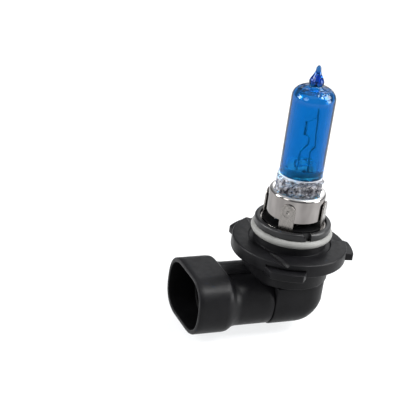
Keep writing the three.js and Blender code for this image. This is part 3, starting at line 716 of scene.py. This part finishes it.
def base_flange():
    """Collar, seal groove, flange, hub and spigot in one turn, then the lugs, ramps, slots and key notch."""
    profile = rounded([
        (6.2, -11.2, 0.1), (7.8, -11.2, 0.15), (7.8, -9.3, 0.1), (11.3, -9.3, 0.3), (11.3, -3.5, 0.35),
        (FLANGE_RADIUS, -3.5, 0.3), (FLANGE_RADIUS, 0, 0.45), (11, 0, 0.1), (10.75, -0.3, 0.1),
        (9.6, -0.3, 0.1), (9.6, 1.95, 0.2), (8.35, 1.95, 0.1), (8.35, 4.2, 0.1), (10.1, 4.2, 0.15),
        (10.1, 6.1, 0.6), (8.7, 6.1, 0.3), (8.7, 4.8, 0.05), (7.35, 4.8, 0.05), (7.35, 5.4, 0.05),
        (8.2, 5.4, 0.05), (8.2, 6.2, 0.15), (5, 6.2, 0.15), (5, -7.5, 0.1), (6.2, -7.5, 0.1),
    ], 5)
    key_angle = 267
    base = revolve("moulded_base", profile, 200)
    steps = [("DIFFERENCE", lug_groove(*each)) for each in LUGS]
    steps += [("DIFFERENCE", rim_ramp(*each)) for each in RAMPS]
    steps += [("UNION", lug(*each)) for each in LUGS]
    for angle in TONGUE_ANGLES:
        slot = prism("slot", [(7.42, -2.05), (8.3, -2.05), (8.3, 2.05), (7.42, 2.05)], 4.8, 7)
        steps.append(("DIFFERENCE", turned_about_axis(slot, angle)))
    key = prism("key", [(8.9, -1.1), (10.6, -1.1), (10.6, 1.1), (8.9, 1.1)], 5.2, 7)
    step = prism("step", [(8.9, -0.3), (10.6, -0.3), (10.6, 1.1), (8.9, 1.1)], 4.0, 6.5)
    steps += [("DIFFERENCE", turned_about_axis(tool, key_angle)) for tool in (key, step)]
    cut_and_joined(base, steps)
    piece(base, [BLACK, SHADE_PAINTED_BLACK, LIT_COLLAR_BLACK], ["base_flange"])
    # The collar's faces take the painted-lighter black.
    give_faces(base, 2, lambda p: p.z > 4.15)
    # Painted shade: faces deep inside the collar take the darker black.
    give_faces(base, 1, lambda p: math.hypot(p.x, p.y) < 8.75 and p.z > 4.5)


def seal_ring():
    """An O-ring with the fine flash line of its mould round the outside."""
    middle, radius, height = 9.75, 1.05, 3.1
    profile = []
    for i in range(40):
        angle = TURN * i / 40
        flash = 0.035 * math.exp(-((min(angle, TURN - angle) / 0.09) ** 2))
        profile.append((middle + (radius - 0.036 + flash) * math.cos(angle),
                        height + radius * math.sin(angle)))
    piece(revolve("o_ring", profile, 200), [SILICONE], ["seal_ring"], crease=60)


base_flange()
seal_ring()


# ---------------------------------------------------------------- elbow and connector

SHROUD = {"half_y": 11.2, "half_z": 8.05, "squareness": 2.5, "z": -14.75}
BARREL = {"half_y": 9.7, "half_z": 6.9, "squareness": 2.2, "z": -15.15}
MOUTH, SHELF, FLOOR, BORE_RADIUS = -28.4, -22.4, -11.6, 5.9


def section_ring(x, half_y, half_z, squareness, z, inset=0.0, quarter=24):
    """A flat-topped oval across the connector's axis, drawn smaller by inset."""
    half_y, half_z = half_y - inset, half_z - inset
    ring = []
    for q in range(4):
        cy = (half_y - half_z) * (1 if q in (0, 3) else -1)
        for i in range(quarter + 1 - q % 2):
            angle = (q + i / quarter) * math.pi / 2
            c, s = math.cos(angle), math.sin(angle)
            ring.append((x, cy + half_z * math.copysign(abs(c) ** (2 / squareness), c),
                         z + half_z * math.copysign(abs(s) ** (2 / squareness), s)))
    return ring


def mixed(a, b, t):
    return {key: a[key] + (b[key] - a[key]) * t for key in a}


def along_connector(name, profile, segments=96):
    """A turned solid about the connector's axis, from an outline of (radius, x)."""
    solid = revolve(name, profile, segments)
    solid.data.transform(Matrix.Rotation(math.pi / 2, 4, "Y"))
    solid.data.transform(Matrix.Translation((0, 0, SHROUD["z"] * MM)))
    return solid


def connector_outside():
    """The barrel's rounded end, the barrel, its step up to the shroud and the shroud's rounded rim."""
    rear, step_start, step_end = -6.7, -14.5, -22
    rings = [section_ring(-6.26, **BARREL, inset=0.9), section_ring(-6.35, **BARREL, inset=0.88),
             section_ring(-6.35, **BARREL, inset=0.35), section_ring(-6.45, **BARREL, inset=0.1),
             section_ring(rear, **BARREL)]
    rings += [section_ring(rear - (rear - step_start) * i / 5, **BARREL) for i in range(1, 6)]
    for i in range(1, 37):
        x = step_start - (step_start - step_end) * i / 36
        shape = mixed(BARREL, SHROUD, smoothstep((-17.3 - x) / 1.9))
        shape["half_y"] = mixed(BARREL, SHROUD, smoothstep((-15.6 - x) / 4.8))["half_y"]
        rings.append(section_ring(x, **shape))
    rings += [section_ring(step_end + (MOUTH + 0.35 - step_end) * i / 5, **SHROUD) for i in range(1, 6)]
    rings += [section_ring(MOUTH + 0.12, **SHROUD, inset=0.1), section_ring(MOUTH, **SHROUD, inset=0.35)]
    return loft("plug_socket", rings)


def connector_inside():
    """The hollow inside the shroud, widened a little at its mouth and narrowed at its back."""
    wall, depth, back = 1.2, 8.1, -19.6
    rings = [section_ring(MOUTH - 0.5, **SHROUD, inset=wall - 0.25),
             section_ring(MOUTH, **SHROUD, inset=wall - 0.25),
             section_ring(MOUTH + 0.1, **SHROUD, inset=wall - 0.08),
             section_ring(MOUTH + 0.4, **SHROUD, inset=wall)]
    rings += [section_ring(MOUTH + 0.4 + depth * i / 6, **SHROUD, inset=wall) for i in range(1, 7)]
    rings.append(section_ring(back, **SHROUD, inset=wall + 0.3))
    return loft("hollow", rings)


def lock_catch():
    """The ramped catch under the shroud that the plug's latch snaps over."""
    base = SHROUD["z"] - SHROUD["half_z"]
    outline = [(-26, base + 0.6), (-26, base), (-24.2, base - 2), (-22.2, base - 2), (-22.2, base + 0.6)]
    return bevelled(prism("catch", outline, -2.5, 2.5, "y"), 0.18, 3, 20)


def top_rib():
    """The raised flat along the top of the barrel."""
    top = BARREL["z"] + BARREL["half_z"]
    outline = [(-2.2, top - 2), (2.2, top - 2), (2.2, top + 0.45), (-2.2, top + 0.45)]
    return bevelled(prism("rib", outline, -19, -9.4, "x"), 0.2, 3)


def within_socket(p):
    """Whether p is on the wall, lip or floor of the hollow that the plug enters."""
    if p.x < MOUTH + 0.15 or p.x > FLOOR + 0.5:
        return False
    if p.x > -19.4:
        return math.hypot(p.y, p.z - SHROUD["z"]) < BORE_RADIUS + 0.4
    across = max(abs(p.y) - SHROUD["half_y"] + SHROUD["half_z"], 0) / (SHROUD["half_z"] - 0.9)
    up = abs(p.z - SHROUD["z"]) / (SHROUD["half_z"] - 0.9)
    return across ** SHROUD["squareness"] + up ** SHROUD["squareness"] < 1


def plug_socket():
    lip = along_connector("lip", rounded([
        (4.5, -19.0, 0), (4.5, SHELF, 0), (6.6, SHELF, 0.3), (6.6, -19.0, 0)], 5))
    wide = BORE_RADIUS + 0.3
    bore = along_connector("bore", rounded([
        (0, FLOOR, 0), (0, MOUTH - 1, 0), (wide, MOUTH - 1, 0), (wide, SHELF - 0.1, 0),
        (BORE_RADIUS, SHELF + 0.3, 0), (BORE_RADIUS, FLOOR, 0.4)], 4))
    key_section = [(-0.55, -10.75), (0.55, -10.75), (0.55, -8.6), (-0.55, -8.6)]
    key = prism("key", key_section, -20.6, FLOOR + 0.3, "x")
    rear = along_connector("rear", [(0, FLOOR + 2), (BORE_RADIUS, FLOOR + 2), (BORE_RADIUS, -5), (0, -5)])
    hub = revolve("hub_room", [(0, -9.45), (11.45, -9.45), (11.45, 0), (0, 0)], 160)
    spigot = revolve("spigot_room", [(0, -11.35), (7.95, -11.35), (7.95, 0), (0, 0)], 120)
    body = cut_and_joined(connector_outside(), [
        ("UNION", lock_catch()), ("UNION", top_rib()), ("DIFFERENCE", connector_inside()), ("UNION", lip),
        ("DIFFERENCE", bore), ("UNION", bevelled(key, 0.15, 2)), ("DIFFERENCE", rear), ("DIFFERENCE", hub),
        ("DIFFERENCE", spigot),
    ])
    piece(body, [BLACK, SHADE_PAINTED_BLACK], ["connector_housing"])
    # Painted shade: faces inside the socket take the darker black.
    give_faces(body, 1, within_socket)


def elbow():
    """The rounded elbow under the base: plan outlines that draw in for the heel and the lower edges."""
    edge, side, bottom, front = 6.0, 9.9, -22.05, -6.25
    heel_top, heel_back, back_wall, top = -14.9, 6.8, 9.4, -9.45
    rings = []

    def outline(z, back, inset=0.0):
        drop = max(bottom + edge - z, 0)
        half = side - edge + math.sqrt(max(edge * edge - drop * drop, 0)) - inset
        corner = min(edge, half - 0.2)
        ring = []
        for sign in (-1, 1):
            arc = []
            for i in range(25):
                a = i * math.pi / 48
                arc.append((back - inset - corner + corner * math.cos(a),
                            sign * (half - corner + corner * math.sin(a)), z))
            near = [(front + 0.3, sign * half, z), (front + 0.09, sign * (half - 0.09), z),
                    (front, sign * (half - 0.3), z)]
            ring += list(reversed(near)) + list(reversed(arc)) if sign < 0 else arc + near
        rings.append(ring)

    outline(top, back_wall, 0.25)
    outline(top - 0.08, back_wall, 0.08)
    outline(top - 0.3, back_wall)
    for i in range(1, 5):
        outline(top - 0.3 + (heel_top - top + 0.3) * i / 5, back_wall)
    levels = 28
    for i in range(levels + 1):
        t = i / levels
        t_soft = t - 0.05 * math.sin(TURN * t) * (1 - t)
        outline(heel_top + (bottom - heel_top) * t, back_wall + (heel_back - back_wall) * t_soft)
    piece(loft("elbow_cover", rings), [BLACK], ["elbow_housing"], crease=38)


plug_socket()
elbow()


# ---------------------------------------------------------------- pieces that keep their plain shape

KEPT = {
    "pinch_clip": SPRING,
    "potting_plug": RESIN,
    # The terminal carrier, inside the housing, takes the painted-shade black.
    "terminal_carrier": SHADE_PAINTED_BLACK,
    "foil_left": FOIL,
    "foil_right": FOIL,
    "outer_lead_left": MOLYBDENUM,
    "outer_lead_right": MOLYBDENUM,
    "terminal_left": TINNED,
    "terminal_right": TINNED,
    "crimp_sleeve_left": TINNED,
    "crimp_sleeve_right": TINNED,
}

for name, finish in KEPT.items():
    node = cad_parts[name]
    node.data.materials.clear()
    node.data.materials.append(finish)
    node.data.shade_smooth()
    node.data.set_sharp_from_angle(angle=math.radians(32))


# ---------------------------------------------------------------- floor, light and camera

def studio_floor():
    z = cad_box[0].z / MM - 0.05
    reach = 1500
    corners = [(-reach, -reach, z), (reach, -reach, z), (reach, reach, z), (-reach, reach, z)]
    floor = new_object("floor", corners, [(0, 1, 2, 3)])
    shader = Shader("pale_floor", (0.17, 0.17, 0.17), 0.8, Specular_IOR_Level=0.1,
                    Emission_Color=(0.98, 0.99, 1.0, 1), Emission_Strength=0.82)
    shader.colour(shader.blend(shader.noise(60), (0.16, 0.16, 0.16), (0.18, 0.18, 0.18)))
    floor.data.materials.append(shader.material)


def soft_light(name, position, size, power):
    data = bpy.data.lights.new(name, "AREA")
    data.shape = "RECTANGLE"
    data.size, data.size_y = size
    data.energy = power
    light = bpy.data.objects.new(name, data)
    light.location = position
    aim = Vector((0.0, 0.0, 0.01)) - Vector(position)
    light.rotation_mode = "QUATERNION"
    light.rotation_quaternion = aim.to_track_quat("-Z", "Y")
    bpy.context.scene.collection.objects.link(light)


def studio():
    world = bpy.data.worlds.new("studio")
    world.use_nodes = True
    background = world.node_tree.nodes["Background"]
    background.inputs["Color"].default_value = (0.92, 0.95, 1.0, 1)
    background.inputs["Strength"].default_value = 0.35
    bpy.context.scene.world = world
    soft_light("overhead", (0.0, 0.0, 0.9), (1.2, 1.2), 3)
    soft_light("left_front", (-0.75, -0.25, 0.45), (0.3, 0.45), 3)
    soft_light("right_front", (0.66, -0.38, 0.14), (0.3, 0.3), 4)
    soft_light("left_back", (-0.78, 0.30, 0.36), (0.28, 0.4), 10)
    soft_light("right", (0.63, -0.23, 0.60), (0.5, 0.5), 12)
    soft_light("front_top", (0.35, -0.38, 0.74), (0.25, 0.25), 5)
    soft_light("back", (0.70, 0.80, 0.55), (0.7, 0.5), 2)
    bpy.context.scene.view_settings.view_transform = "Standard"


def camera():
    """Stands over the connector's side of the bulb and leans with the bulb's lean on the table."""
    azimuth, elevation, roll = (math.radians(angle) for angle in (25.6, 25.2, 8.1))
    across, above, distance = 23.6, -10.1, 400
    flat_right = Vector((math.cos(azimuth), -math.sin(azimuth), 0))
    flat_ahead = Vector((math.sin(azimuth), math.cos(azimuth), 0))
    tilted_up = Vector((0, 0, 1)) * math.cos(elevation) + flat_ahead * math.sin(elevation)
    ahead = flat_ahead * math.cos(elevation) - Vector((0, 0, 1)) * math.sin(elevation)
    right = flat_right * math.cos(roll) + tilted_up * math.sin(roll)
    up = tilted_up * math.cos(roll) - flat_right * math.sin(roll)
    data = bpy.data.cameras.new("camera")
    data.lens = 136.8
    data.sensor_width = 36
    view = bpy.data.objects.new("camera", data)
    place = -(right * across + up * above + ahead * distance) * MM
    view.matrix_world = Matrix.Translation(place) @ Matrix((right, up, -ahead)).transposed().to_4x4()
    bpy.context.scene.collection.objects.link(view)
    bpy.context.scene.camera = view


studio_floor()
studio()
camera()

bpy.context.view_layer.update()
